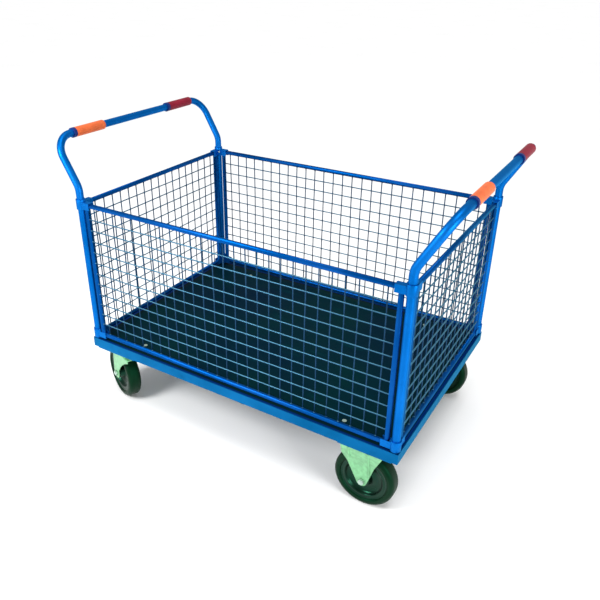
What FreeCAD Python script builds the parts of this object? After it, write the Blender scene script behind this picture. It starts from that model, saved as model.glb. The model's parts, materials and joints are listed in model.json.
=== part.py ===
import FreeCAD, Part
import math
import os

# Four-sided mesh cage platform cart: a flush deck board in a rebated steel frame,
# two U-shaped push handles whose legs are the corner posts, four mesh panels held
# by corner clamps, two swivel casters at -X and two rigid casters at +X.
# Frame: millimetres, +Z up, origin on the floor under the middle of the cart.

Vector = FreeCAD.Vector
X_AXIS = Vector(1, 0, 0)
Y_AXIS = Vector(0, 1, 0)
Z_AXIS = Vector(0, 0, 1)
ORIGIN = Vector(0, 0, 0)

margin = 1.0                # extra reach of a cutting body
tolerance = 0.1             # for telling edges apart

# Platform
platform_length = 1200.0
platform_width = 800.0
platform_top = 275.0        # top of the frame lip above the floor
rail_height = 35.0
rail_width = 30.0           # hollow lower part of the rail, the ledge under the board
rail_wall = 2.0
lip_thickness = 3.0
frame_corner_radius = 3.0
mitre_depth = 60.0
board_thickness = 15.0
board_drop = 2.0            # board surface below the frame lip
board_gap = 1.5             # between the board edge and the lip
board_notch_gap = 1.0       # between the board notch and the post
beam_width = 40.0
beam_places = {"left": -400.0, "middle": 0.0, "right": 400.0}
deck_bolt_x = 400.0
deck_bolt_y = 338.0
deck_bolt_diameter = 6.0
deck_bolt_head_radius = 7.0
deck_bolt_head_depth = 4.0
deck_bolt_sink = 0.1        # head below the board surface
deck_bolt_nut_radius = 5.7
thread_tail = 2.0           # thread beyond a nut

# Posts and push handles
tube_diameter = 25.0
tube_wall = 2.0
post_inset = 16.0           # post centre from the outer faces of the platform
handle_bend_height = 846.0  # where the two legs start to lean outwards
handle_top = 1000.0         # centre of the push bar
handle_overhang = 88.0      # push bar outwards of the posts
leg_bend_radius = 62.0
bar_bend_radius = 70.0
grip_length = 130.0
grip_wall = 4.0
grip_bore_gap = 0.05
grip_edge_radius = 2.0
collar_width = 12.0
collar_wall = 4.3
grip_starts = {"left": (-294.0, 183.0), "right": (-262.0, 183.0)}

# Mesh panels
panel_tube = 16.0
panel_wall = 1.5
panel_setback = 27.0        # centre of an upright panel tube from the post centre
panel_top = 790.0           # centre of the top panel tube
panel_bottom = 292.0        # centre of the bottom panel tube
mesh_pitch = 40.3
mesh_wire = 4.0
mesh_first_row = 741.2      # highest horizontal wire
mesh_rows = 11
mesh_shifts = {"near": -3.5, "far": 2.5, "left": -2.0, "right": 0.0}   # cut of each mesh sheet
drain_hole = 5.0
drain_spacing = 300.0

# Corner clamps
clamp_ring_radius = 16.0
clamp_bore_gap = 0.05
clamp_height = 34.0
clamp_top_centre = 791.0
clamp_bottom_centre = 296.0
clamp_reach = 44.0          # end of a pocket from the post centre
pocket_wall = 2.0
pocket_gap = 0.1
pocket_depth = 24.0
grub_screw_diameter = 6.0
grub_screw_proud = 1.0

# Casters
wheel_radius = 100.0
tyre_width = 50.0
tyre_inner_radius = 77.0
tyre_shoulder = 14.0
tyre_bead_height = 6.0      # slope from the rim flange out to the side wall
rim_flange_width = 40.0
rim_flange_slope = 4.0      # the flange thins by this much down to the well
rim_well_radius = 64.0
rim_dish = 14.0             # radial run of the slope between well and web
rim_web_thickness = 8.0
hub_radius = 24.0
hub_taper = 4.0
hub_root = 8.0              # thickening of the web where it meets the hub
hub_length = 58.0
bearing_outer_radius = 15.0
bearing_inner_radius = 10.0
bearing_length = 54.0
sleeve_radius = 9.95
axle_radius = 6.0
axle_head_radius = 10.4
axle_head_height = 7.5
nut_height = 10.0
fork_inner_half = 31.0
fork_thickness = 4.0
fork_bend_radius = 5.0
rigid_tip_radius = 17.0
rigid_edge_inset = 2.0      # leg edges from the ends of the rigid plate
rigid_knee = 160.0          # height where the rigid legs start to lean outwards
rigid_back_drop = 36.0      # upright part of a rigid leg's back edge
rigid_waist_x = 38.0        # inward corner of a rigid leg's front edge
rigid_waist_z = 166.0
rib_radius = 3.6
rib_sink = 1.0              # rib axis below the face of the leg, at the top
rib_places = ((22.0, 130.0), (-42.0, 186.0))   # place and lower end of each rib
caster_height = 235.0
plate_length = 140.0
plate_width = 110.0
plate_thickness = 5.0
plate_bolt_x = 52.5
plate_bolt_y = 37.5
plate_bolt_diameter = 10.0
plate_hole_diameter = 11.0
plate_bolt_head_height = 6.0
plate_bolt_flats = 16.0
mount_plate_inner_x = 408.0
mount_plate_outer_x = 580.0
mount_plate_inner_y = 268.0
mount_plate_outer_y = 398.0
rigid_caster_x = 484.0
swivel_caster_x = -490.0
caster_y = 338.0
swivel_trail = 61.0
swivel_turns = {"near": -23.0, "far": -10.0}
swivel_tip_radius = 22.0
swivel_tip_rise = 16.0      # upright part of a swivel leg's front edge, above the axle
swivel_waist_x = 4.0        # middle of a swivel leg's hollowed front edge
swivel_waist_z = 167.0
crown_front = 62.0
crown_back = 70.0
crown_lip = 8.0             # front corner of a leg below the crown
cup_radius = 39.0
race_outer_radius = 36.0
race_inner_radius = 22.0
race_bottom = 218.0
race_top = 223.5
cup_bottom = 225.0
crown_thickness = 5.0
ball_radius = 2.5
ball_circle_radius = 29.0
ball_count = 24
kingpin_radius = 6.0
kingpin_head_radius = 11.0
kingpin_head_gap = 1.0      # around the head in its recess, and metal left under it
kingpin_head_sink = 0.5
kingpin_gap = 0.05
ball_groove_gap = 0.5
bearing_play = 0.3

post_x = platform_length / 2 - post_inset
post_y = platform_width / 2 - post_inset
rail_bottom = platform_top - rail_height
board_top = platform_top - board_drop
board_bottom = board_top - board_thickness
hex_ratio = 2 / math.sqrt(3)


def box(x0, x1, y0, y1, z0, z1):
    return Part.makeBox(x1 - x0, y1 - y0, z1 - z0, Vector(x0, y0, z0))


def cylinder(radius, start, end):
    axis = end.sub(start)
    return Part.makeCylinder(radius, axis.Length, start, axis)


def hex_prism(circumradius, start, end):
    axis = end.sub(start)
    corners = []
    for index in range(7):
        angle = math.radians(60 * index)
        corners.append(Vector(circumradius * math.cos(angle), circumradius * math.sin(angle), 0))
    prism = Part.Face(Part.makePolygon(corners)).extrude(Vector(0, 0, axis.Length))
    turn = FreeCAD.Rotation(Z_AXIS, axis)
    prism.Placement = FreeCAD.Placement(start, turn)
    return prism


def fuse(shapes):
    joined = shapes[0]
    if len(shapes) > 1:
        joined = shapes[0].multiFuse(shapes[1:])
    return joined.removeSplitter()


def revolve_about_y(profile):
    """Solid of revolution about Y from (radius, y) points."""
    points = [Vector(radius, y, 0) for radius, y in profile]
    points.append(points[0])
    face = Part.Face(Part.makePolygon(points))
    return face.revolve(ORIGIN, Y_AXIS, 360)


def rounded_path(points, radii):
    """Wire through the points with a tangent arc of its own radius at each inner point."""
    edges = []
    start = points[0]
    for index in range(1, len(points) - 1):
        corner = points[index]
        back = points[index - 1].sub(corner).normalize()
        ahead = points[index + 1].sub(corner).normalize()
        half = back.getAngle(ahead) / 2
        radius = radii[index - 1]
        reach = radius / math.tan(half)
        entry = corner.add(back * reach)
        leave = corner.add(ahead * reach)
        middle_direction = back.add(ahead).normalize()
        centre = corner.add(middle_direction * (radius / math.sin(half)))
        middle = centre.sub(middle_direction * radius)
        edges.append(Part.LineSegment(start, entry).toShape())
        edges.append(Part.Arc(entry, middle, leave).toShape())
        start = leave
    edges.append(Part.LineSegment(start, points[-1]).toShape())
    return Part.Wire(edges)


def sweep_circle(path, start, direction, radius, mitred=False):
    circle = Part.Wire(Part.makeCircle(radius, start, direction))
    transition = 1 if mitred else 0
    return path.makePipeShell([circle], True, False, transition)


def platform_ring(outer_inset, inner_inset, z0, z1):
    """Rectangular ring that follows the platform edge, between two insets."""
    outer = platform_plate(outer_inset, z0, z1)
    return outer.cut(platform_plate(inner_inset, z0 - margin, z1 + margin))


def platform_plate(inset, z0, z1):
    half_x = platform_length / 2 - inset
    half_y = platform_width / 2 - inset
    plate = box(-half_x, half_x, -half_y, half_y, z0, z1)
    radius = frame_corner_radius - inset
    if radius <= 0:
        return plate
    upright = [edge for edge in plate.Edges if same_place(abs(edge.tangentAt(0).z), 1)]
    return plate.makeFillet(radius, upright)


def frame_rails():
    """Four mitred lengths of rebated tube: a hollow ledge with an upstanding lip."""
    ledge = platform_ring(0, rail_width, rail_bottom, board_bottom)
    hollow = platform_ring(rail_wall, rail_width - rail_wall,
                           rail_bottom + rail_wall, board_bottom - rail_wall)
    lip = platform_ring(0, lip_thickness, board_bottom, platform_top)
    ring = ledge.fuse(lip).cut(hollow)
    half_x = platform_length / 2
    half_y = platform_width / 2
    inner_x = half_x - mitre_depth
    inner_y = half_y - mitre_depth
    outlines = {
        "near": [(-half_x, -half_y), (half_x, -half_y), (inner_x, -inner_y), (-inner_x, -inner_y)],
        "far": [(-half_x, half_y), (half_x, half_y), (inner_x, inner_y), (-inner_x, inner_y)],
        "left": [(-half_x, -half_y), (-half_x, half_y), (-inner_x, inner_y), (-inner_x, -inner_y)],
        "right": [(half_x, -half_y), (half_x, half_y), (inner_x, inner_y), (inner_x, -inner_y)],
    }
    rails = {}
    for side, outline in outlines.items():
        points = [Vector(x, y, rail_bottom - margin) for x, y in outline]
        points.append(points[0])
        wedge = Part.Face(Part.makePolygon(points)).extrude(Vector(0, 0, rail_height + 2 * margin))
        rails["frame_rail_" + side] = ring.common(wedge).removeSplitter()
    return rails


def cross_beam(x):
    """Rectangular tube between the long rails, drilled for the deck bolts."""
    half_y = platform_width / 2 - rail_width
    half_width = beam_width / 2
    beam = box(x - half_width, x + half_width, -half_y, half_y, rail_bottom, board_bottom)
    inside = half_width - rail_wall
    beam = beam.cut(box(x - inside, x + inside, -half_y - margin, half_y + margin,
                        rail_bottom + rail_wall, board_bottom - rail_wall))
    return drill_deck_holes(beam)


def deck_bolt_positions():
    return [(sx * deck_bolt_x, sy * deck_bolt_y) for sx in (-1, 1) for sy in (-1, 1)]


def drill_deck_holes(shape):
    for x, y in deck_bolt_positions():
        start = Vector(x, y, rail_bottom - margin)
        shape = shape.cut(cylinder(deck_bolt_diameter / 2, start, Vector(x, y, platform_top)))
    return shape


def countersunk_head(x, y, growth):
    """Cone under a flush head, widened by growth for the hole in the board."""
    depth = deck_bolt_head_depth + growth
    head = Part.makeCone(deck_bolt_diameter / 2, deck_bolt_head_radius + growth, depth)
    head.translate(Vector(x, y, board_top - deck_bolt_sink - deck_bolt_head_depth))
    return head


def deck_board():
    edge = lip_thickness + board_gap
    half_x = platform_length / 2 - edge
    half_y = platform_width / 2 - edge
    board = box(-half_x, half_x, -half_y, half_y, board_bottom, board_top)
    notch = tube_diameter / 2 + board_notch_gap
    for sx in (-1, 1):
        for sy in (-1, 1):
            xs = sorted((sx * (post_x - notch), sx * (half_x + margin)))
            ys = sorted((sy * (post_y - notch), sy * (half_y + margin)))
            board = board.cut(box(xs[0], xs[1], ys[0], ys[1],
                                  board_bottom - margin, board_top + margin))
    board = drill_deck_holes(board)
    for x, y in deck_bolt_positions():
        board = board.cut(countersunk_head(x, y, deck_bolt_sink))
    return board


def deck_bolts():
    """Four countersunk bolts, flush with the board, and their nuts under the beams."""
    solids = []
    nut_bottom = rail_bottom - nut_height / 2
    for x, y in deck_bolt_positions():
        head = countersunk_head(x, y, 0)
        shank = cylinder(deck_bolt_diameter / 2, Vector(x, y, nut_bottom - thread_tail),
                         Vector(x, y, board_top - deck_bolt_head_depth))
        solids.append(head.fuse(shank).removeSplitter())
        nut = hex_prism(deck_bolt_nut_radius, Vector(x, y, nut_bottom), Vector(x, y, rail_bottom))
        solids.append(nut.cut(shank))
    return Part.makeCompound(solids)


def bar_x():
    """Distance of the push bar from the middle of the cart."""
    return post_x + handle_overhang


def handle_tube(side):
    """One bent tube: two posts that lean out above the cage and meet in the push bar."""
    foot = board_bottom
    points = [
        Vector(side * post_x, -post_y, foot),
        Vector(side * post_x, -post_y, handle_bend_height),
        Vector(side * bar_x(), -post_y, handle_top),
        Vector(side * bar_x(), post_y, handle_top),
        Vector(side * post_x, post_y, handle_bend_height),
        Vector(side * post_x, post_y, foot),
    ]
    radii = [leg_bend_radius, bar_bend_radius, bar_bend_radius, leg_bend_radius]
    path = rounded_path(points, radii)
    outer = sweep_circle(path, points[0], Z_AXIS, tube_diameter / 2)
    inner = sweep_circle(path, points[0], Z_AXIS, tube_diameter / 2 - tube_wall)
    return outer.cut(inner)


def sleeve_on_bar(side, start, length, wall, edge_radius):
    radius = tube_diameter / 2
    base = Vector(side * bar_x(), start, handle_top)
    end = base.add(Vector(0, length, 0))
    sleeve = cylinder(radius + wall, base, end)
    if edge_radius:
        sleeve = sleeve.makeFillet(edge_radius, [edge for edge in sleeve.Edges
                                                 if isinstance(edge.Curve, Part.Circle)])
    return sleeve.cut(cylinder(radius + grip_bore_gap, base, end))


def panel_frame(half_length):
    """Closed rectangle of round tube with two drain holes, in the XZ plane."""
    corners = [
        Vector(-half_length, 0, panel_bottom),
        Vector(half_length, 0, panel_bottom),
        Vector(half_length, 0, panel_top),
        Vector(-half_length, 0, panel_top),
    ]
    middle = Vector(0, 0, panel_bottom)
    path = Part.makePolygon([middle, corners[1], corners[2], corners[3], corners[0], middle])
    outer = sweep_circle(path, middle, X_AXIS, panel_tube / 2, mitred=True)
    inner = sweep_circle(path, middle, X_AXIS, panel_tube / 2 - panel_wall, mitred=True)
    frame = outer.cut(inner)
    for x in (-drain_spacing / 2, drain_spacing / 2):
        start = Vector(x, 0, panel_bottom - panel_tube)
        frame = frame.cut(cylinder(drain_hole / 2, start, Vector(x, 0, panel_bottom)))
    return frame


def panel_mesh(half_length, shift):
    """Welded square mesh as one flat grid between the panel tubes."""
    half_wire = mesh_wire / 2
    edge = half_length - panel_tube / 2
    bottom = panel_bottom + panel_tube / 2
    top = panel_top - panel_tube / 2
    bars = []
    for row in range(mesh_rows):
        z = mesh_first_row - row * mesh_pitch
        bars.append(box(-edge, edge, -half_wire, half_wire, z - half_wire, z + half_wire))
    first = -int((edge - half_wire + shift) // mesh_pitch)
    last = int((edge - half_wire - shift) // mesh_pitch)
    for column in range(first, last + 1):
        x = shift + column * mesh_pitch
        bars.append(box(x - half_wire, x + half_wire, -half_wire, half_wire, bottom, top))
    return fuse(bars)


def panel_placements():
    """Side name, half length and placement of each panel."""
    half_long = post_x - panel_setback
    half_short = post_y - panel_setback
    quarter = FreeCAD.Rotation(Z_AXIS, 90)
    level = FreeCAD.Rotation()
    return [
        ("near", half_long, FreeCAD.Placement(Vector(0, -post_y, 0), level)),
        ("far", half_long, FreeCAD.Placement(Vector(0, post_y, 0), level)),
        ("left", half_short, FreeCAD.Placement(Vector(-post_x, 0, 0), quarter)),
        ("right", half_short, FreeCAD.Placement(Vector(post_x, 0, 0), quarter)),
    ]


def placed(shape, placement):
    copy = shape.copy()
    copy.Placement = placement
    return copy


def clamp_pocket(rail_height_in_clamp, closed_side):
    """U-shaped pocket along -X over a panel corner, closed above (+1) or below (-1)."""
    half_inner = panel_tube / 2 + pocket_gap
    half_outer = half_inner + pocket_wall
    closed = rail_height_in_clamp + closed_side * half_outer
    opened = closed - closed_side * pocket_depth
    low, high = sorted((closed, opened))
    pocket = box(-clamp_reach, -tube_diameter / 2, -half_outer, half_outer, low, high)
    inner_closed = rail_height_in_clamp + closed_side * half_inner
    inner_opened = opened - closed_side * margin
    low, high = sorted((inner_closed, inner_opened))
    start = -(panel_setback - half_inner)
    return pocket.cut(box(-clamp_reach - margin, start, -half_inner, half_inner, low, high))


def corner_clamp(ring_centre, rail_centre, closed_side):
    """Ring on the post with two pockets at a right angle, for the +X +Y corner."""
    low = ring_centre - clamp_height / 2
    high = ring_centre + clamp_height / 2
    body = [cylinder(clamp_ring_radius, Vector(0, 0, low), Vector(0, 0, high))]
    pocket = clamp_pocket(rail_centre, closed_side)
    body.append(pocket)
    body.append(placed(pocket, FreeCAD.Placement(ORIGIN, FreeCAD.Rotation(Z_AXIS, 90))))
    clamp = fuse(body)
    bore = tube_diameter / 2 + clamp_bore_gap
    clamp = clamp.cut(cylinder(bore, Vector(0, 0, low - clamp_height),
                               Vector(0, 0, high + clamp_height)))
    start, end = grub_screw_line(ring_centre)
    return clamp.cut(cylinder(grub_screw_diameter / 2, start, end.add(end.sub(start))))


def grub_screw_line(ring_centre):
    """Grub screw of a clamp, on the inner diagonal of the +X +Y corner."""
    inward = Vector(-1, -1, 0).normalize()
    centre = Vector(0, 0, ring_centre)
    start = centre.add(inward * (tube_diameter / 2))
    return start, centre.add(inward * (clamp_ring_radius + grub_screw_proud))


def corner_positions():
    """Name, position and quarter turns of each corner."""
    return [
        ("right_far", Vector(post_x, post_y, 0), 0),
        ("left_far", Vector(-post_x, post_y, 0), 90),
        ("left_near", Vector(-post_x, -post_y, 0), 180),
        ("right_near", Vector(post_x, -post_y, 0), 270),
    ]


def corner_clamps():
    top = corner_clamp(clamp_top_centre, panel_top, 1)
    bottom = corner_clamp(clamp_bottom_centre, panel_bottom, -1)
    clamps = {}
    screws = []
    for name, position, turn in corner_positions():
        placement = FreeCAD.Placement(position, FreeCAD.Rotation(Z_AXIS, turn))
        pair = [placed(top, placement), placed(bottom, placement)]
        clamps["corner_clamps_" + name] = Part.makeCompound(pair)
        for centre in (clamp_top_centre, clamp_bottom_centre):
            start, end = grub_screw_line(centre)
            screw = cylinder(grub_screw_diameter / 2, start, end)
            post = cylinder(tube_diameter / 2, Vector(0, 0, centre - clamp_height),
                            Vector(0, 0, centre + clamp_height))
            screw = screw.cut(post)
            screws.append(placed(screw, placement))
    clamps["clamp_grub_screws"] = Part.makeCompound(screws)
    return clamps


def plate_hole_positions():
    return [(sx * plate_bolt_x, sy * plate_bolt_y) for sx in (-1, 1) for sy in (-1, 1)]


def drill_plate(plate, centre, radius, z0, z1):
    for dx, dy in plate_hole_positions():
        foot = centre.add(Vector(dx, dy, 0))
        hole = cylinder(radius, Vector(foot.x, foot.y, z0), Vector(foot.x, foot.y, z1))
        plate = plate.cut(hole)
    return plate


def caster_mount_plates():
    """Four plates welded under the frame, tapped for the caster bolts."""
    plates = []
    for sx, caster_x in ((1, rigid_caster_x), (-1, swivel_caster_x)):
        for sy in (-1, 1):
            xs = sorted((sx * mount_plate_inner_x, sx * mount_plate_outer_x))
            ys = sorted((sy * mount_plate_inner_y, sy * mount_plate_outer_y))
            plate = box(xs[0], xs[1], ys[0], ys[1], caster_height, rail_bottom)
            centre = Vector(caster_x, sy * caster_y, 0)
            plates.append(drill_plate(plate, centre, plate_bolt_diameter / 2,
                                      caster_height - margin, rail_bottom + margin))
    return Part.makeCompound(plates)


def caster_bolts():
    """Sixteen hexagon bolts through the caster plates into the mount plates."""
    bolts = []
    head_top = caster_height - plate_thickness
    for caster_x in (rigid_caster_x, swivel_caster_x):
        for sy in (-1, 1):
            for dx, dy in plate_hole_positions():
                x = caster_x + dx
                y = sy * caster_y + dy
                shank = cylinder(plate_bolt_diameter / 2, Vector(x, y, head_top),
                                 Vector(x, y, rail_bottom))
                head = hex_prism(plate_bolt_flats / 2 * hex_ratio,
                                 Vector(x, y, head_top - plate_bolt_head_height), Vector(x, y, head_top))
                bolts.append(shank.fuse(head))
    return Part.makeCompound(bolts)


def tyre():
    """Tyre with flat side walls and rounded shoulders."""
    half = tyre_width / 2
    bead_half = rim_flange_width / 2
    wall_inner = tyre_inner_radius + tyre_bead_height
    wall_outer = wheel_radius - tyre_shoulder
    tread_half = half - tyre_shoulder
    curve = tyre_shoulder * math.sqrt(0.5)
    arcs = []
    for side in (-1, 1):
        wall = Vector(wall_outer, side * half, 0)
        middle = Vector(wall_outer + curve, side * (tread_half + curve), 0)
        tread = Vector(wheel_radius, side * tread_half, 0)
        arcs.append(Part.Arc(wall, middle, tread).toShape())
    corners = [
        Vector(wall_outer, -half, 0),
        Vector(wall_inner, -half, 0),
        Vector(tyre_inner_radius, -bead_half, 0),
        Vector(tyre_inner_radius, bead_half, 0),
        Vector(wall_inner, half, 0),
        Vector(wall_outer, half, 0),
    ]
    lines = [Part.makeLine(first, second) for first, second in zip(corners[:-1], corners[1:])]
    lines.append(Part.makeLine(Vector(wheel_radius, -tread_half, 0), Vector(wheel_radius, tread_half, 0)))
    outline = Part.Wire(Part.__sortEdges__(arcs + lines))
    return Part.Face(outline).revolve(ORIGIN, Y_AXIS, 360)


def rim():
    """Dished wheel centre: flange under the tyre, web and hub, bored for the bearing."""
    half_flange = rim_flange_width / 2
    half_web = rim_web_thickness / 2
    half_hub = hub_length / 2
    half_profile = [
        (tyre_inner_radius, half_flange),
        (rim_well_radius, half_flange - rim_flange_slope),
        (rim_well_radius - rim_dish, half_web),
        (hub_radius, half_web + hub_root),
        (hub_radius - hub_taper, half_hub),
        (bearing_outer_radius, half_hub),
    ]
    other_half = [(radius, -y) for radius, y in reversed(half_profile)]
    return revolve_about_y(half_profile + other_half)


def bearing():
    half = bearing_length / 2
    return revolve_about_y([
        (bearing_inner_radius, -half),
        (bearing_outer_radius, -half),
        (bearing_outer_radius, half),
        (bearing_inner_radius, half),
    ])


def axle_set():
    """Axle bolt, nut and spacer sleeve, along Y about the origin."""
    outer = fork_inner_half + fork_thickness
    start = Vector(0, -outer, 0)
    tail = Vector(0, outer + nut_height + thread_tail, 0)
    shank = cylinder(axle_radius, start, tail)
    head = hex_prism(axle_head_radius, Vector(0, -outer - axle_head_height, 0), start)
    nut = hex_prism(axle_head_radius, Vector(0, outer, 0), Vector(0, outer + nut_height, 0))
    sleeve = cylinder(sleeve_radius, Vector(0, -fork_inner_half, 0), Vector(0, fork_inner_half, 0))
    return Part.makeCompound([shank.fuse(head), nut.cut(shank), sleeve.cut(shank)])


def tip_tangent(centre, radius, point, side):
    """Point where the line from an outline point touches the rounded tip."""
    away = point.sub(centre)
    angle = math.atan2(away.z, away.x) + side * math.acos(radius / away.Length)
    return Vector(centre.x + radius * math.cos(angle), centre.y, centre.z + radius * math.sin(angle))


def leg_outline(points_left, points_right, centre, radius):
    """Face of a fork leg in the XZ plane: a plate that narrows to a rounded tip."""
    left = tip_tangent(centre, radius, points_left[-1], 1)
    right = tip_tangent(centre, radius, points_right[-1], -1)
    bottom = Vector(centre.x, centre.y, centre.z - radius)
    corners = [left] + list(reversed(points_left)) + points_right + [right]
    edges = [Part.makeLine(a, b) for a, b in zip(corners[:-1], corners[1:])]
    edges.append(Part.Arc(right, bottom, left).toShape())
    return Part.Face(Part.Wire(edges))


def drill_axle(shape, x, z):
    reach = plate_width
    return shape.cut(cylinder(axle_radius, Vector(x, -reach, z), Vector(x, reach, z)))


def leg_rib(x, low_end):
    """Stiffening ridge on the outer face of a rigid leg, from low_end up to the plate."""
    plate_bottom = caster_height - plate_thickness
    lower_y = fork_inner_half + fork_thickness
    upper_y = plate_width / 2
    top = Vector(x, upper_y - rib_sink, plate_bottom + margin)
    share = max(0.0, (low_end - rigid_knee) / (plate_bottom - rigid_knee))
    foot = Vector(x, lower_y + share * (upper_y - lower_y), low_end)
    points = [foot, top]
    if low_end < rigid_knee:
        points.insert(1, Vector(x, lower_y, rigid_knee))
    parts = [cylinder(rib_radius, first, second) for first, second in zip(points[:-1], points[1:])]
    parts += [Part.makeSphere(rib_radius, point) for point in points[:-1]]
    return fuse(parts).common(box(-plate_length, plate_length, 0, plate_width, 0, plate_bottom))


def rigid_fork():
    """Pressed bracket: top plate with two legs that draw in towards the wheel."""
    plate_bottom = caster_height - plate_thickness
    half_length = plate_length / 2
    half_width = plate_width / 2
    plate = box(-half_length, half_length, -half_width, half_width, plate_bottom, caster_height)
    inner = fork_inner_half
    outer = fork_inner_half + fork_thickness
    low = wheel_radius - rigid_tip_radius
    section = [
        Vector(0, inner, low),
        Vector(0, outer, low),
        Vector(0, outer, rigid_knee),
        Vector(0, half_width, plate_bottom),
        Vector(0, half_width - fork_thickness, plate_bottom),
        Vector(0, inner, rigid_knee),
        Vector(0, inner, low),
    ]
    strip = Part.Face(Part.makePolygon(section)).extrude(Vector(plate_length, 0, 0))
    strip.translate(Vector(-half_length, 0, 0))
    y = -half_width - margin
    edge = half_length - rigid_edge_inset
    back_edge = [Vector(-edge, y, plate_bottom + margin), Vector(-edge, y, plate_bottom - rigid_back_drop)]
    front_edge = [Vector(edge, y, plate_bottom + margin), Vector(rigid_waist_x, y, rigid_waist_z)]
    outline = leg_outline(back_edge, front_edge, Vector(0, y, wheel_radius), rigid_tip_radius)
    leg = strip.common(outline.extrude(Vector(0, -2 * y, 0)))
    leg = fuse([leg] + [leg_rib(x, low_end) for x, low_end in rib_places])
    fork = fuse([plate, leg, leg.mirror(ORIGIN, Y_AXIS)])
    fork = drill_plate(fork, ORIGIN, plate_hole_diameter / 2, plate_bottom - margin, caster_height + margin)
    return drill_axle(fork, 0, wheel_radius)


def swivel_plate():
    """Top plate of a swivel caster with the upper race cup under it."""
    half_length = plate_length / 2
    half_width = plate_width / 2
    plate_bottom = caster_height - plate_thickness
    plate = box(-half_length, half_length, -half_width, half_width, plate_bottom, caster_height)
    cup = cylinder(cup_radius, Vector(0, 0, cup_bottom), Vector(0, 0, plate_bottom))
    plate = fuse([plate, cup])
    plate = drill_plate(plate, ORIGIN, plate_hole_diameter / 2, cup_bottom - margin, caster_height + margin)
    recess = cylinder(kingpin_head_radius + kingpin_head_gap,
                      Vector(0, 0, plate_bottom + kingpin_head_gap), Vector(0, 0, caster_height + margin))
    bore = cylinder(kingpin_radius, Vector(0, 0, cup_bottom - margin), Vector(0, 0, caster_height))
    return plate.cut(recess).cut(bore)


def swivel_race():
    """Lower ball race ring on the fork crown, with an open ball groove."""
    top = Vector(0, 0, race_top + margin)
    ring = cylinder(race_outer_radius, Vector(0, 0, race_bottom), Vector(0, 0, race_top))
    ring = ring.cut(cylinder(race_inner_radius, Vector(0, 0, race_bottom - margin), top))
    floor = Vector(0, 0, ball_height() - ball_radius)
    half_groove = ball_radius + ball_groove_gap
    groove = cylinder(ball_circle_radius + half_groove, floor, top)
    core = cylinder(ball_circle_radius - half_groove, floor, top)
    return ring.cut(groove.cut(core))


def ball_height():
    return cup_bottom - bearing_play - ball_radius


def swivel_balls():
    balls = []
    for index in range(ball_count):
        angle = 2 * math.pi * index / ball_count
        x = ball_circle_radius * math.cos(angle)
        y = ball_circle_radius * math.sin(angle)
        balls.append(Part.makeSphere(ball_radius, Vector(x, y, ball_height())))
    return Part.makeCompound(balls)


def kingpin():
    """Kingpin with its head in the top plate and a nut under the fork crown."""
    head_bottom = Vector(0, 0, caster_height - plate_thickness + kingpin_head_gap)
    nut_top = Vector(0, 0, race_bottom - crown_thickness - bearing_play)
    nut_bottom = nut_top.sub(Vector(0, 0, nut_height))
    head = cylinder(kingpin_head_radius, head_bottom, Vector(0, 0, caster_height - kingpin_head_sink))
    shank = cylinder(kingpin_radius, nut_bottom.sub(Vector(0, 0, thread_tail / 2)), head_bottom)
    nut = hex_prism(axle_head_radius, nut_bottom, nut_top)
    return Part.makeCompound([head.fuse(shank), nut.cut(shank)])


def swivel_leg_outline(y):
    """Face of a swivel fork leg: round tip at the axle, front edge hollowed up to the crown."""
    axle_x = -swivel_trail
    tip = swivel_tip_radius
    crown_top = Vector(crown_front, y, race_bottom)
    crown_low = Vector(crown_front, y, race_bottom - crown_thickness - crown_lip)
    waist = Vector(swivel_waist_x, y, swivel_waist_z)
    tip_top = Vector(axle_x + tip, y, wheel_radius + swivel_tip_rise)
    tip_front = Vector(axle_x + tip, y, wheel_radius)
    tip_bottom = Vector(axle_x, y, wheel_radius - tip)
    tip_back = Vector(axle_x - tip, y, wheel_radius)
    top_back = Vector(-crown_back, y, race_bottom)
    edges = [
        Part.makeLine(top_back, crown_top),
        Part.makeLine(crown_top, crown_low),
        Part.Arc(crown_low, waist, tip_top).toShape(),
        Part.makeLine(tip_top, tip_front),
        Part.Arc(tip_front, tip_bottom, tip_back).toShape(),
        Part.makeLine(tip_back, top_back),
    ]
    return Part.Face(Part.Wire(edges))


def swivel_fork():
    """Fork that turns about the kingpin at the origin, wheel centre behind it at -X."""
    inner = fork_inner_half
    outer = inner + fork_thickness
    crown_bottom = race_bottom - crown_thickness
    block = swivel_leg_outline(-outer).extrude(Vector(0, 2 * outer, 0))
    long_edges = [edge for edge in block.Edges if is_upper_lengthwise(edge, outer)]
    block = block.makeFillet(fork_bend_radius, long_edges)
    reach = 2 * wheel_radius
    tunnel = box(-reach, reach, -inner, inner, 0, crown_bottom)
    fork = block.cut(tunnel)
    bore = cylinder(kingpin_radius + kingpin_gap, Vector(0, 0, crown_bottom - margin),
                    Vector(0, 0, race_bottom + margin))
    return drill_axle(fork.cut(bore).removeSplitter(), -swivel_trail, wheel_radius)


def is_upper_lengthwise(edge, half_width):
    """True for the two top edges of a fork block that run along X."""
    first = edge.Vertexes[0].Point
    last = edge.Vertexes[-1].Point
    level = same_place(first.z, race_bottom) and same_place(last.z, race_bottom)
    return level and same_place(abs(first.y), half_width) and same_place(first.y, last.y)


def same_place(first, second):
    return abs(first - second) < tolerance


def wheel_parts(name):
    return {"tyre_" + name: tyre(), "rim_" + name: rim(), "bearing_" + name: bearing(),
            "axle_set_" + name: axle_set()}


def place_all(shapes, placement):
    return {name: placed(shape, placement) for name, shape in shapes.items()}


def rigid_caster(name, sy):
    fork_place = FreeCAD.Placement(Vector(rigid_caster_x, sy * caster_y, 0), FreeCAD.Rotation())
    wheel_place = FreeCAD.Placement(Vector(rigid_caster_x, sy * caster_y, wheel_radius), FreeCAD.Rotation())
    nodes = {"rigid_fork_" + name: placed(rigid_fork(), fork_place)}
    nodes.update(place_all(wheel_parts(name), wheel_place))
    return nodes


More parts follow.
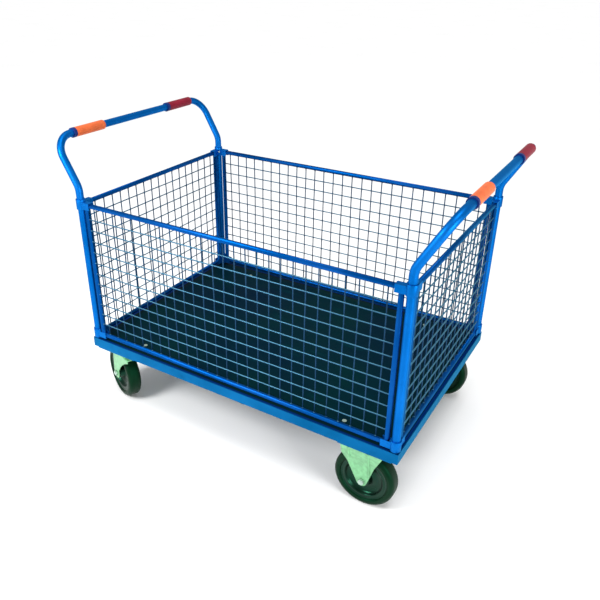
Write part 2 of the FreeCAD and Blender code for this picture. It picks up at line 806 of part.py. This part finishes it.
def swivel_caster(name, sy, turn):
    pivot = Vector(swivel_caster_x, sy * caster_y, 0)
    turned = FreeCAD.Rotation(Z_AXIS, turn)
    plate_place = FreeCAD.Placement(pivot, FreeCAD.Rotation())
    fork_place = FreeCAD.Placement(pivot, turned)
    wheel_centre = pivot.add(turned.multVec(Vector(-swivel_trail, 0, wheel_radius)))
    wheel_place = FreeCAD.Placement(wheel_centre, turned)
    nodes = {
        "swivel_plate_" + name: placed(swivel_plate(), plate_place),
        "kingpin_" + name: placed(kingpin(), plate_place),
        "swivel_race_" + name: placed(swivel_race(), fork_place),
        "swivel_balls_" + name: placed(swivel_balls(), fork_place),
        "swivel_fork_" + name: placed(swivel_fork(), fork_place),
    }
    nodes.update(place_all(wheel_parts(name), wheel_place))
    return nodes


def platform_nodes():
    nodes = frame_rails()
    for name, x in beam_places.items():
        nodes["cross_beam_" + name] = cross_beam(x)
    nodes["caster_mount_plates"] = caster_mount_plates()
    nodes["deck_board"] = deck_board()
    nodes["deck_bolts"] = deck_bolts()
    return nodes


def handle_nodes():
    nodes = {}
    for name, side in (("left", -1), ("right", 1)):
        nodes["handle_tube_" + name] = handle_tube(side)
        collars = []
        for place, start in zip(("near", "far"), grip_starts[name]):
            nodes["grip_%s_%s" % (name, place)] = sleeve_on_bar(
                side, start, grip_length, grip_wall, grip_edge_radius)
            collars.append(sleeve_on_bar(side, start - collar_width, collar_width, collar_wall, 0))
        nodes["grip_collars_" + name] = Part.makeCompound(collars)
    return nodes


def cage_nodes():
    nodes = {}
    for side, half_length, placement in panel_placements():
        nodes["panel_frame_" + side] = placed(panel_frame(half_length), placement)
        nodes["panel_mesh_" + side] = placed(panel_mesh(half_length, mesh_shifts[side]), placement)
    nodes.update(corner_clamps())
    return nodes


def caster_nodes():
    nodes = {"caster_bolts": caster_bolts()}
    for place, sy in (("near", -1), ("far", 1)):
        nodes.update(rigid_caster("right_" + place, sy))
        nodes.update(swivel_caster("left_" + place, sy, swivel_turns[place]))
    return nodes


def main():
    os.makedirs("parts", exist_ok=True)
    nodes = {}
    for group in (platform_nodes(), handle_nodes(), cage_nodes(), caster_nodes()):
        nodes.update(group)
    for name, shape in sorted(nodes.items()):
        shape.exportStep("parts/%s.step" % name)
        print("%-28s solids %2d  volume %10.0f  valid %s"
              % (name, len(shape.Solids), shape.Volume, shape.isValid()))
    print("nodes:", len(nodes))


main()
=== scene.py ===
import bmesh
import bpy
import json
import math
import random
from mathutils import Matrix, Vector


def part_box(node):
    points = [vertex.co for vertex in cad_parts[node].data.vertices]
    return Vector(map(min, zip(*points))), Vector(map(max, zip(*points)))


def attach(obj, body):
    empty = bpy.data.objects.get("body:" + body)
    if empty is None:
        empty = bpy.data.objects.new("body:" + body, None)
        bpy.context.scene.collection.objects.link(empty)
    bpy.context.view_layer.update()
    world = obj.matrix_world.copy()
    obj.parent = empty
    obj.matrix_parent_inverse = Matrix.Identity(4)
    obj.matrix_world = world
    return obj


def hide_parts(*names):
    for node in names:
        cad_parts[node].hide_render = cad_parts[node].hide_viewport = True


# Mesh cage platform cart. Metres, +Z up, origin on the floor under the middle of the cart.

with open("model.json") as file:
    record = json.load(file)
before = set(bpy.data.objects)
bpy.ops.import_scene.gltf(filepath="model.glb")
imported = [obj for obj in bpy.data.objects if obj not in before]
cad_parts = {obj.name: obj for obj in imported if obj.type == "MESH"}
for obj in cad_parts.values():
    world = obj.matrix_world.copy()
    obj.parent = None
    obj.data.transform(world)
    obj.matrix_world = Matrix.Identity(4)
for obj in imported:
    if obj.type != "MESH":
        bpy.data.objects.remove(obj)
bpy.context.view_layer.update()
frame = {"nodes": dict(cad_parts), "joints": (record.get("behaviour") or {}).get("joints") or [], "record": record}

Z_UP = Vector((0, 0, 1))
NEAR_AND_FAR = ("near", "far")

# Camera
CAMERA_PLACE = Vector((1.0677, -1.7978, 1.5433))
CAMERA_TURN = math.radians(32.237)
CAMERA_PITCH = math.radians(26.88)
CAMERA_LENS = 39.45
CAMERA_SHIFT = (0.0436, -0.0267)

# Panel mesh
WIRE_RADIUS = 0.002
WIRE_LAYER = 0.9 * WIRE_RADIUS          # each layer of wires from the middle plane of its sheet
MESH_PITCH = 0.0403
ROW_DROP = 0.0408                       # highest level wire below the top of the sheet
ROWS = 11
MESH_SHIFTS = {"near": -0.0035, "far": 0.0025, "left": -0.0020, "right": 0.0}
WIRE_SIDES = 10
UPRIGHT_STEPS = 12
LEVEL_STEPS = 24
WIRE_SWAY = 0.0004
SWAY_TURN = 9.0                         # radians of the sway's wave along one wire
WIRE_OVERRUN = 0.0015                   # wire end inside the panel tube
END_BEAD_RADIUS = 0.0034
UPRIGHT_END_STRETCH = (1, 1, 0.7)
LEVEL_END_STRETCH = (1, 1, 0.8)
CROSSING_BEAD_RADIUS = 0.0029
CROSSING_STRETCH = (1, 1, 1)

# Wheels
WHEEL_SEGMENTS = 128
TYRE_OUTER = 0.100
TYRE_INNER = 0.077
TYRE_HALF = 0.025
TYRE_SHOULDER = 0.014
SHOULDER_STEPS = 10

# Edges of the CAD nodes
WELD_DISTANCE = 1e-6
FLAT_ANGLE = math.radians(0.5)
BEVEL_WIDTH = 0.0008
BEVEL_SEGMENTS = 2
BEVEL_ANGLE = math.radians(40)
BEVELLED = ("frame_rail", "cross_beam", "caster_mount", "corner_clamps", "rigid_fork", "swivel_fork",
            "swivel_plate", "deck_board", "axle_set", "caster_bolts")

# Margin of the deck outside the panels, which carries a painted reflection of the blue rails
MARGIN_HALF_LENGTH = 0.586
MARGIN_HALF_WIDTH = 0.386
MARGIN_FADE = 0.004

# Studio
FLOOR_HALF = 30.0
WORLD_STRENGTH = 0.57
SUN_TOWARDS = Vector((0.15, -0.10, 1.0))
SUN_SPREAD = 30.0
SUN_POWER = 1.65
LAMPS = {                               # place, size and power
    "front_left": (Vector((-0.9, -1.7, 1.5)), 0.8, 40.0),
    "right": (Vector((2.5, -1.1, 0.9)), 0.9, 32.0),
}
LAMP_TARGET = Vector((0, 0, 0.45))

seeded = random.Random(7)


# ---------------------------------------------------------------- meshes

def new_piece(name, bm, body, material):
    """Smooth-shaded object from a bmesh, riding on a body and filed under a slot."""
    bmesh.ops.recalc_face_normals(bm, faces=bm.faces)
    mesh = bpy.data.meshes.new(name)
    bm.to_mesh(mesh)
    bm.free()
    mesh.polygons.foreach_set("use_smooth", [True] * len(mesh.polygons))
    piece = bpy.data.objects.new(name, mesh)
    bpy.context.scene.collection.objects.link(piece)
    piece.data.materials.append(material)
    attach(piece, body)
    return piece


def add_tube(bm, points, radius, sides):
    """Closed round tube along a list of points."""
    rings = []
    side = (points[1] - points[0]).normalized().orthogonal()
    for index, point in enumerate(points):
        before = points[max(index - 1, 0)]
        after = points[min(index + 1, len(points) - 1)]
        along = (after - before).normalized()
        side = (side - along * side.dot(along)).normalized()
        other = along.cross(side)
        ring = []
        for step in range(sides):
            angle = 2 * math.pi * step / sides
            ring.append(bm.verts.new(point + radius * (math.cos(angle) * side + math.sin(angle) * other)))
        rings.append(ring)
    for low, high in zip(rings[:-1], rings[1:]):
        for step in range(sides):
            following = (step + 1) % sides
            bm.faces.new((low[step], low[following], high[following], high[step]))
    bm.faces.new(rings[0][::-1])
    bm.faces.new(rings[-1])


def add_blob(bm, centre, radius, stretch):
    """Small weld bead: a low ball, stretched along the three axes."""
    matrix = Matrix.Translation(centre) @ Matrix.Diagonal((*stretch, 1.0))
    bmesh.ops.create_icosphere(bm, subdivisions=1, radius=radius, matrix=matrix)


def revolve(bm, profile, segments, placement):
    """Closed (radius, along) profile turned about the placement's Y axis."""
    rings = []
    for step in range(segments):
        angle = 2 * math.pi * step / segments
        ring = []
        for radius, along in profile:
            point = Vector((radius * math.cos(angle), along, radius * math.sin(angle)))
            ring.append(bm.verts.new(placement @ point))
        rings.append(ring)
    count = len(profile)
    for step in range(segments):
        ring = rings[step]
        following = rings[(step + 1) % segments]
        for index in range(count):
            after = (index + 1) % count
            bm.faces.new((ring[index], ring[after], following[after], following[index]))


# ---------------------------------------------------------------- materials

# Colour sockets of the Mix node, which share their names with its number sockets
MIX_FIRST_COLOUR = 6
MIX_SECOND_COLOUR = 7
MIX_RESULT_COLOUR = 2

BLACK = (0, 0, 0)
BARE_STEEL = (0.16, 0.19, 0.24)
BEVEL_SAMPLES = 4
BUMP_DISTANCE = 0.0004


def node_material(name):
    material = bpy.data.materials.new(name)
    material.use_nodes = True
    nodes = material.node_tree.nodes
    nodes.clear()
    output = nodes.new("ShaderNodeOutputMaterial")
    shader = nodes.new("ShaderNodeBsdfPrincipled")
    material.node_tree.links.new(shader.outputs["BSDF"], output.inputs["Surface"])
    return material, nodes, material.node_tree.links, shader


def noise_field(nodes, links, scale, detail, stretch=(1, 1, 1)):
    """Noise in object space; a stretch below one draws it out along that axis."""
    place = nodes.new("ShaderNodeTexCoord")
    mapping = nodes.new("ShaderNodeMapping")
    mapping.inputs["Scale"].default_value = stretch
    noise = nodes.new("ShaderNodeTexNoise")
    noise.inputs["Scale"].default_value = scale
    noise.inputs["Detail"].default_value = detail
    links.new(place.outputs["Object"], mapping.inputs["Vector"])
    links.new(mapping.outputs["Vector"], noise.inputs["Vector"])
    return noise.outputs["Fac"]


def ramp(nodes, links, source, stops):
    node = nodes.new("ShaderNodeValToRGB")
    elements = node.color_ramp.elements
    while len(elements) < len(stops):
        elements.new(0.5)
    for element, (position, colour) in zip(elements, stops):
        element.position = position
        element.color = (*colour, 1)
    links.new(source, node.inputs["Fac"])
    return node.outputs["Color"]


def mixed(nodes, links, factor, first, second):
    """Colour mix from the first, a socket, to the second, a colour."""
    node = nodes.new("ShaderNodeMix")
    node.data_type = "RGBA"
    links.new(factor, node.inputs["Factor"])
    links.new(first, node.inputs[MIX_FIRST_COLOUR])
    node.inputs[MIX_SECOND_COLOUR].default_value = (*second, 1)
    return node.outputs[MIX_RESULT_COLOUR]


def scaled(colour, factor, lift=0.0):
    """Colour made darker or lighter, with a small lift, at most one."""
    return tuple(min(1.0, factor * part + lift) for part in colour)


def grey(level):
    return (level, level, level)


def edge_mask(nodes, links, radius, low, high):
    """White near sharp edges: where a rounded normal leaves the true one."""
    bevel = nodes.new("ShaderNodeBevel")
    bevel.samples = BEVEL_SAMPLES
    bevel.inputs["Radius"].default_value = radius
    geometry = nodes.new("ShaderNodeNewGeometry")
    dot = nodes.new("ShaderNodeVectorMath")
    dot.operation = "DOT_PRODUCT"
    links.new(bevel.outputs["Normal"], dot.inputs[0])
    links.new(geometry.outputs["Normal"], dot.inputs[1])
    spread = nodes.new("ShaderNodeMapRange")
    spread.inputs["From Min"].default_value = high
    spread.inputs["From Max"].default_value = low
    links.new(dot.outputs["Value"], spread.inputs["Value"])
    return spread.outputs["Result"]


def upward_mask(nodes, links, low, high):
    """White where the surface faces up, black where it faces sideways or down."""
    geometry = nodes.new("ShaderNodeNewGeometry")
    split = nodes.new("ShaderNodeSeparateXYZ")
    links.new(geometry.outputs["True Normal"], split.inputs["Vector"])
    spread = nodes.new("ShaderNodeMapRange")
    spread.inputs["From Min"].default_value = low
    spread.inputs["From Max"].default_value = high
    links.new(split.outputs["Z"], spread.inputs["Value"])
    return spread.outputs["Result"]


def margin_mask(nodes, links, half_length, half_width, fade):
    """White outside a centred rectangle in plan, fading in over a short distance."""
    place = nodes.new("ShaderNodeTexCoord")
    split = nodes.new("ShaderNodeSeparateXYZ")
    links.new(place.outputs["Object"], split.inputs["Vector"])
    largest = nodes.new("ShaderNodeMath")
    largest.operation = "MAXIMUM"
    for index, (axis, half) in enumerate((("X", half_length), ("Y", half_width))):
        size = nodes.new("ShaderNodeMath")
        size.operation = "ABSOLUTE"
        links.new(split.outputs[axis], size.inputs[0])
        beyond = nodes.new("ShaderNodeMath")
        beyond.operation = "SUBTRACT"
        links.new(size.outputs["Value"], beyond.inputs[0])
        beyond.inputs[1].default_value = half
        links.new(beyond.outputs["Value"], largest.inputs[index])
    spread = nodes.new("ShaderNodeMapRange")
    spread.inputs["From Min"].default_value = 0.0
    spread.inputs["From Max"].default_value = fade
    links.new(largest.outputs["Value"], spread.inputs["Value"])
    return spread.outputs["Result"]


def add_bump(nodes, links, shader, height, strength, distance=BUMP_DISTANCE):
    bump = nodes.new("ShaderNodeBump")
    bump.inputs["Strength"].default_value = strength
    bump.inputs["Distance"].default_value = distance
    links.new(height, bump.inputs["Height"])
    links.new(bump.outputs["Normal"], shader.inputs["Normal"])


def set_roughness(nodes, links, shader, source, low, high):
    spread = nodes.new("ShaderNodeMapRange")
    spread.inputs["To Min"].default_value = low
    spread.inputs["To Max"].default_value = high
    links.new(source, spread.inputs["Value"])
    links.new(spread.outputs["Result"], shader.inputs["Roughness"])


def powder_coat(name, colour, sheen, roughness, metal, wear=0.0, painted_top_highlight=None):
    """Glossy powder coat: orange peel, tone drift, grime, and, where asked, worn edges or a painted highlight on
    the faces that point up.
    """
    material, nodes, links, shader = node_material(name)
    drift = noise_field(nodes, links, scale=6.0, detail=3.0)
    tones = [(0.35, scaled(colour, 0.82)), (0.65, scaled(colour, 1.12, lift=0.004))]
    base = ramp(nodes, links, drift, tones)
    grime = noise_field(nodes, links, scale=38.0, detail=5.0)
    grime_mask = ramp(nodes, links, grime, [(0.60, BLACK), (0.78, grey(0.35))])
    base = mixed(nodes, links, grime_mask, base, scaled(colour, 0.45))
    if wear:
        edges = edge_mask(nodes, links, radius=0.0015, low=0.80, high=0.985)
        chips = noise_field(nodes, links, scale=160.0, detail=3.0)
        chip_mask = ramp(nodes, links, chips, [(0.56, BLACK), (0.64, grey(wear))])
        worn = nodes.new("ShaderNodeMath")
        worn.operation = "MULTIPLY"
        links.new(edges, worn.inputs[0])
        links.new(chip_mask, worn.inputs[1])
        base = mixed(nodes, links, worn.outputs["Value"], base, BARE_STEEL)
    # painted highlight: faces that point up take a lighter colour, as if lit from above
    if painted_top_highlight:
        top = upward_mask(nodes, links, low=0.10, high=0.65)
        base = mixed(nodes, links, top, base, painted_top_highlight)
    links.new(base, shader.inputs["Base Color"])
    set_roughness(nodes, links, shader, grime, low=roughness - 0.05, high=roughness + 0.12)
    shader.inputs["Metallic"].default_value = metal
    shader.inputs["Specular Tint"].default_value = (*sheen, 1)
    peel = noise_field(nodes, links, scale=900.0, detail=1.0)
    add_bump(nodes, links, shader, peel, strength=0.06)
    return material


def zinc_plate(name, colour, roughness):
    """Bright passivated zinc: cloudy tone, darker stains, fine rolling marks."""
    material, nodes, links, shader = node_material(name)
    cloud = noise_field(nodes, links, scale=70.0, detail=4.0)
    base = ramp(nodes, links, cloud, [(0.32, scaled(colour, 0.72)), (0.62, colour)])
    stain = noise_field(nodes, links, scale=14.0, detail=4.0)
    stain_mask = ramp(nodes, links, stain, [(0.55, BLACK), (0.75, grey(0.4))])
    base = mixed(nodes, links, stain_mask, base, scaled(colour, 0.55))
    links.new(base, shader.inputs["Base Color"])
    shader.inputs["Metallic"].default_value = 0.55
    set_roughness(nodes, links, shader, cloud, low=roughness - 0.06, high=roughness + 0.16)
    marks = noise_field(nodes, links, scale=260.0, detail=2.0, stretch=(1.0, 1.0, 0.15))
    add_bump(nodes, links, shader, marks, strength=0.10)
    return material


def soft_plastic(name, colour, sheen, roughness, grain, bump, gloss=0.5):
    """Moulded rubber or plastic: tone drift and a fine grain of the given scale."""
    material, nodes, links, shader = node_material(name)
    drift = noise_field(nodes, links, scale=22.0, detail=4.0)
    tones = [(0.35, scaled(colour, 0.80)), (0.65, scaled(colour, 1.10, lift=0.003))]
    base = ramp(nodes, links, drift, tones)
    links.new(base, shader.inputs["Base Color"])
    set_roughness(nodes, links, shader, drift, low=roughness - 0.06, high=roughness + 0.10)
    shader.inputs["Specular IOR Level"].default_value = gloss
    shader.inputs["Specular Tint"].default_value = (*sheen, 1)
    texture = noise_field(nodes, links, scale=grain, detail=2.0)
    add_bump(nodes, links, shader, texture, strength=bump)
    return material


def deck_film(name):
    """Dark film-faced board: tone drift, scuffs, fine grain, and a painted blue reflection of the rails on the
    margin outside the panels.
    """
    material, nodes, links, shader = node_material(name)
    drift = noise_field(nodes, links, scale=3.0, detail=4.0)
    base = ramp(nodes, links, drift, [(0.30, DECK_BLUE), (0.70, DECK_GREEN)])
    scuff = noise_field(nodes, links, scale=26.0, detail=6.0, stretch=(0.25, 1.0, 1.0))
    scuff_mask = ramp(nodes, links, scuff, [(0.58, BLACK), (0.74, grey(0.30))])
    base = mixed(nodes, links, scuff_mask, base, DECK_SCUFF)
    # painted reflection: the margin outside the panels takes the blue of the rails beside it
    margin = margin_mask(nodes, links, MARGIN_HALF_LENGTH, MARGIN_HALF_WIDTH, MARGIN_FADE)
    base = mixed(nodes, links, margin, base, DECK_MARGIN_PAINTED_REFLECTION)
    links.new(base, shader.inputs["Base Color"])
    set_roughness(nodes, links, shader, scuff, low=0.38, high=0.62)
    shader.inputs["Specular IOR Level"].default_value = 0.03
    shader.inputs["Specular Tint"].default_value = (*DECK_SHEEN, 1)
    grain = noise_field(nodes, links, scale=420.0, detail=2.0)
    add_bump(nodes, links, shader, grain, strength=0.08, distance=0.0005)
    return material


# Linear colours
PAINT_SHEEN = (0.0, 0.90, 1.0)
WIRE_SHEEN = (0.4, 0.9, 1.0)
FRAME_BLUE = (0.000, 0.105, 0.300)
TUBE_BLUE = (0.000, 0.120, 0.460)
PANEL_BLUE = (0.000, 0.060, 0.280)
WIRE_BLUE = (0.002, 0.030, 0.090)
# painted highlight: colour of the wire tops where light from above falls on them
WIRE_TOP_PAINTED_HIGHLIGHT = (0.060, 0.190, 0.290)
DECK_BLUE = (0.0001, 0.0085, 0.0230)
DECK_GREEN = (0.0002, 0.0170, 0.0180)
DECK_SCUFF = (0.0005, 0.034, 0.042)
# painted reflection of the blue rails on the deck margin
DECK_MARGIN_PAINTED_REFLECTION = (0.000, 0.020, 0.130)
DECK_SHEEN = (0.0, 0.8, 1.0)
# the grips are one red-orange plastic: the orange copy carries painted light, the dark red copy painted shade
GRIP_PAINTED_LIT_ORANGE = (0.80, 0.150, 0.045)
GRIP_PAINTED_LIT_SHEEN = (1.0, 0.6, 0.3)
GRIP_PAINTED_SHADE_RED = (0.22, 0.006, 0.022)
GRIP_PAINTED_SHADE_SHEEN = (1.0, 0.2, 0.3)
COLLAR_BLUE = (0.002, 0.016, 0.120)
COLLAR_SHEEN = (0.3, 0.4, 1.0)
TYRE_GREEN = (0.0002, 0.0100, 0.0026)
TYRE_SHEEN = (0.1, 1.0, 0.5)
RIM_GREEN = (0.0002, 0.0022, 0.0012)
RIM_SHEEN = (0.2, 1.0, 0.6)
HARDWARE_ZINC = (0.42, 0.56, 0.48)
BEARING_STEEL = (0.45, 0.50, 0.48)
CASTER_ZINC = (0.22, 0.54, 0.27)
RACE_STEEL = (0.34, 0.50, 0.38)


# Slots of each kind of material
POWDER_COATS = {
    "frame_paint": dict(colour=FRAME_BLUE, sheen=PAINT_SHEEN, roughness=0.45, metal=0.80, wear=0.35),
    "handle_paint": dict(colour=TUBE_BLUE, sheen=PAINT_SHEEN, roughness=0.42, metal=0.85),
    "panel_paint": dict(colour=PANEL_BLUE, sheen=PAINT_SHEEN, roughness=0.40, metal=0.85),
    "clamp_paint": dict(colour=TUBE_BLUE, sheen=PAINT_SHEEN, roughness=0.42, metal=0.80, wear=0.2),
    # the mesh wire carries a painted highlight on its upward faces
    "mesh_wire": dict(colour=WIRE_BLUE, sheen=WIRE_SHEEN, roughness=0.38, metal=0.50, painted_top_highlight=WIRE_TOP_PAINTED_HIGHLIGHT),
}
ZINC_PLATES = {
    "zinc_hardware": dict(colour=HARDWARE_ZINC, roughness=0.28),
    "bearing_steel": dict(colour=BEARING_STEEL, roughness=0.30),
    "caster_zinc": dict(colour=CASTER_ZINC, roughness=0.34),
    "race_steel": dict(colour=RACE_STEEL, roughness=0.34),
}
SOFT_PLASTICS = {
    # one grip plastic in two copies: painted light on the near grips, painted shade on the far grips
    "grip_near": dict(colour=GRIP_PAINTED_LIT_ORANGE, sheen=GRIP_PAINTED_LIT_SHEEN, roughness=0.50, grain=520.0, bump=0.12),
    "grip_far": dict(colour=GRIP_PAINTED_SHADE_RED, sheen=GRIP_PAINTED_SHADE_SHEEN, roughness=0.50, grain=520.0, bump=0.12),
    "collar_plastic": dict(colour=COLLAR_BLUE, sheen=COLLAR_SHEEN, roughness=0.45, grain=520.0, bump=0.08),
    "tyre_rubber": dict(colour=TYRE_GREEN, sheen=TYRE_SHEEN, roughness=0.45, grain=700.0, bump=0.12,
                        gloss=0.18),
    "rim_plastic": dict(colour=RIM_GREEN, sheen=RIM_SHEEN, roughness=0.28, grain=620.0, bump=0.06,
                        gloss=0.40),
}


def all_materials():
    """One material for each slot."""
    kinds = ((powder_coat, POWDER_COATS), (zinc_plate, ZINC_PLATES), (soft_plastic, SOFT_PLASTICS))
    made = {"deck_board": deck_film("deck_board")}
    for make, recipes in kinds:
        for slot, recipe in recipes.items():
            made[slot] = make(slot, **recipe)
    return made


materials = all_materials()
slot_of_node = {row["node"]: row["material_slot"] for row in frame["record"]["subparts"]}


def finish_cad_nodes():
    """Material on every CAD node, and rounded edges where the part has sharp ones."""
    for name, node in frame["nodes"].items():
        node.data.materials.clear()
        node.data.materials.append(materials[slot_of_node[name]])
        weld = node.modifiers.new("weld", "WELD")
        weld.merge_threshold = WELD_DISTANCE
        if name.startswith(BEVELLED):
            flatten = node.modifiers.new("flatten", "DECIMATE")
            flatten.decimate_type = "DISSOLVE"
            flatten.angle_limit = FLAT_ANGLE
            bevel = node.modifiers.new("bevel", "BEVEL")
            bevel.width = BEVEL_WIDTH
            bevel.segments = BEVEL_SEGMENTS
            bevel.limit_method = "ANGLE"
            bevel.angle_limit = BEVEL_ANGLE
            bevel.harden_normals = True


# ---------------------------------------------------------------- pieces

def wire_points(start, end, count):
    """Points along a wire that wanders slightly off straight."""
    along = end - start
    direction = along.normalized()
    is_level = abs(direction.z) < 0.5
    across = Z_UP.cross(along).normalized() if is_level else Vector((1, 0, 0))
    sideways = across + direction.cross(across)
    phase = seeded.uniform(0, 2 * math.pi)
    points = []
    for index in range(count + 1):
        share = index / count
        sway = WIRE_SWAY * math.sin(phase + SWAY_TURN * share)
        points.append(start + along * share + sideways * sway)
    return points


def panel_mesh(side):
    """Round wires in two welded layers, with a bead at every crossing and at every end."""
    node = "panel_mesh_" + side
    low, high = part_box(node)
    centre = (low + high) / 2
    if side in NEAR_AND_FAR:
        along = Vector((1, 0, 0))
        outward = Vector((0, math.copysign(1, centre.y), 0))
        half = (high.x - low.x) / 2
    else:
        along = Vector((0, 1, 0))
        outward = Vector((math.copysign(1, centre.x), 0, 0))
        half = (high.y - low.y) / 2
    middle = Vector((centre.x, centre.y, 0))
    layer = outward * WIRE_LAYER
    bm = bmesh.new()
    shift = MESH_SHIFTS[side]
    reach = half - WIRE_RADIUS
    columns = range(-int((reach + shift) // MESH_PITCH), int((reach - shift) // MESH_PITCH) + 1)
    column_places = [shift + column * MESH_PITCH for column in columns]
    row_places = [high.z - ROW_DROP - row * MESH_PITCH for row in range(ROWS)]
    for offset in column_places:
        foot = middle + along * offset - layer
        start = foot + Z_UP * (low.z - WIRE_OVERRUN)
        end = foot + Z_UP * (high.z + WIRE_OVERRUN)
        add_tube(bm, wire_points(start, end, UPRIGHT_STEPS), WIRE_RADIUS, WIRE_SIDES)
        for place in (low.z, high.z):
            add_blob(bm, foot + Z_UP * place, END_BEAD_RADIUS, UPRIGHT_END_STRETCH)
    for height in row_places:
        start = middle - along * (half + WIRE_OVERRUN) + layer + Z_UP * height
        end = middle + along * (half + WIRE_OVERRUN) + layer + Z_UP * height
        add_tube(bm, wire_points(start, end, LEVEL_STEPS), WIRE_RADIUS, WIRE_SIDES)
        for place in (-half, half):
            bead = middle + along * place + layer + Z_UP * height
            add_blob(bm, bead, END_BEAD_RADIUS, LEVEL_END_STRETCH)
        for offset in column_places:
            bead = middle + along * offset + Z_UP * height
            add_blob(bm, bead, CROSSING_BEAD_RADIUS, CROSSING_STRETCH)
    piece = new_piece("welded_mesh_" + side, bm, "cart", materials["mesh_wire"])
    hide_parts(node)


def wheel_placement(joint):
    """Matrix whose Y axis is the axle, at the wheel centre."""
    axle = Vector(joint["axis"]).normalized()
    forward = axle.cross(Z_UP).normalized()
    placement = Matrix((forward, axle, Z_UP)).transposed().to_4x4()
    placement.translation = Vector(joint["pos_m"])
    return placement


def arc(centre, radius, start, end, steps):
    """Points of an arc, angles in degrees, as (radius, along) pairs."""
    points = []
    for step in range(steps + 1):
        angle = math.radians(start + (end - start) * step / steps)
        points.append((centre[0] + radius * math.sin(angle), centre[1] + radius * math.cos(angle)))
    return points


def mirrored(half_profile):
    """Full profile from one that runs from the inner edge to the middle, at +Y."""
    return half_profile + [(radius, -along) for radius, along in reversed(half_profile)]


def tyre_profile():
    """Bead, side wall with a fine groove, rounded shoulder and tread, as (radius, half width)."""
    half = [(TYRE_INNER, 0.0205), (0.0788, 0.0222), (0.0798, 0.0240), (0.0808, 0.0248), (0.0824, TYRE_HALF)]
    half += [(0.0836, TYRE_HALF), (0.0842, 0.0246), (0.0848, TYRE_HALF)]
    centre = (TYRE_OUTER - TYRE_SHOULDER, TYRE_HALF - TYRE_SHOULDER)
    half += arc(centre, TYRE_SHOULDER, 0, 80, SHOULDER_STEPS)
    half += [(TYRE_OUTER, 0.0080), (TYRE_OUTER, 0.0006)]
    return mirrored(half)


def rim_profile():
    """Hub, thin web, raised ring, well and flange under the tyre, as (radius, half width)."""
    half = [(0.0150, 0.0285), (0.0185, 0.0290), (0.0205, 0.0285), (0.0222, 0.0265), (0.0245, 0.0130)]
    half += [(0.0275, 0.0085), (0.0330, 0.0062), (0.0470, 0.0056), (0.0490, 0.0064), (0.0510, 0.0064)]
    half += [(0.0540, 0.0070), (0.0590, 0.0105), (0.0620, 0.0160), (0.0632, 0.0192), (0.0645, 0.0200)]
    half += [(0.0670, 0.0196), (0.0700, 0.0188), (0.0740, 0.0190), (0.0758, 0.0202), (TYRE_INNER, 0.0204)]
    return mirrored(half)


def wheel(joint):
    """Tyre and rim of the wheel that turns on this joint."""
    name = joint["child"].replace("wheel_", "")
    placement = wheel_placement(joint)
    parts = (("tyre", tyre_profile(), "tyre_rubber"), ("rim", rim_profile(), "rim_plastic"))
    for part, profile, slot in parts:
        bm = bmesh.new()
        revolve(bm, profile, WHEEL_SEGMENTS, placement)
        piece = new_piece("moulded_%s_%s" % (part, name), bm, joint["child"], materials[slot])
        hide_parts("%s_%s" % (part, name))


# ---------------------------------------------------------------- studio

def floor():
    bm = bmesh.new()
    bmesh.ops.create_grid(bm, x_segments=1, y_segments=1, size=FLOOR_HALF)
    mesh = bpy.data.meshes.new("floor")
    bm.to_mesh(mesh)
    bm.free()
    ground = bpy.data.objects.new("floor", mesh)
    bpy.context.scene.collection.objects.link(ground)
    material, nodes, links, shader = node_material("floor")
    tone = noise_field(nodes, links, scale=2.0, detail=2.0)
    base = ramp(nodes, links, tone, [(0.3, grey(0.93)), (0.7, grey(0.96))])
    links.new(base, shader.inputs["Base Color"])
    shader.inputs["Roughness"].default_value = 0.9
    ground.data.materials.append(material)


def studio():
    """White surroundings, a soft light from above and two soft lamps."""
    floor()
    world = bpy.data.worlds.new("studio")
    world.use_nodes = True
    background = world.node_tree.nodes["Background"]
    background.inputs["Color"].default_value = (1.0, 1.0, 1.0, 1)
    background.inputs["Strength"].default_value = WORLD_STRENGTH
    bpy.context.scene.world = world
    sun_light("overhead", SUN_TOWARDS, SUN_SPREAD, SUN_POWER)
    for name, (place, size, power) in LAMPS.items():
        area_light(name, place, size, power)


def sun_light(name, towards, spread, power):
    """Soft distant light that comes from the given direction; the spread is in degrees."""
    light = bpy.data.lights.new(name, "SUN")
    light.angle = math.radians(spread)
    light.energy = power
    lamp = bpy.data.objects.new(name, light)
    lamp.rotation_euler = towards.to_track_quat("Z", "Y").to_euler()
    bpy.context.scene.collection.objects.link(lamp)


def area_light(name, place, size, power):
    """Round lamp that points at the middle of the cart."""
    light = bpy.data.lights.new(name, "AREA")
    light.shape = "DISK"
    light.size = size
    light.energy = power
    lamp = bpy.data.objects.new(name, light)
    lamp.location = place
    lamp.rotation_euler = (LAMP_TARGET - place).to_track_quat("-Z", "Y").to_euler()
    bpy.context.scene.collection.objects.link(lamp)


def camera():
    data = bpy.data.cameras.new("camera")
    data.lens = CAMERA_LENS
    data.shift_x, data.shift_y = CAMERA_SHIFT
    view = bpy.data.objects.new("camera", data)
    view.location = CAMERA_PLACE
    view.rotation_euler = (math.pi / 2 - CAMERA_PITCH, 0, CAMERA_TURN)
    bpy.context.scene.collection.objects.link(view)
    bpy.context.scene.camera = view


camera()
studio()
bpy.context.scene.view_settings.view_transform = "Standard"
finish_cad_nodes()
for side in MESH_SHIFTS:
    panel_mesh(side)
for joint in frame["joints"]:
    if joint["name"].startswith("roll"):
        wheel(joint)
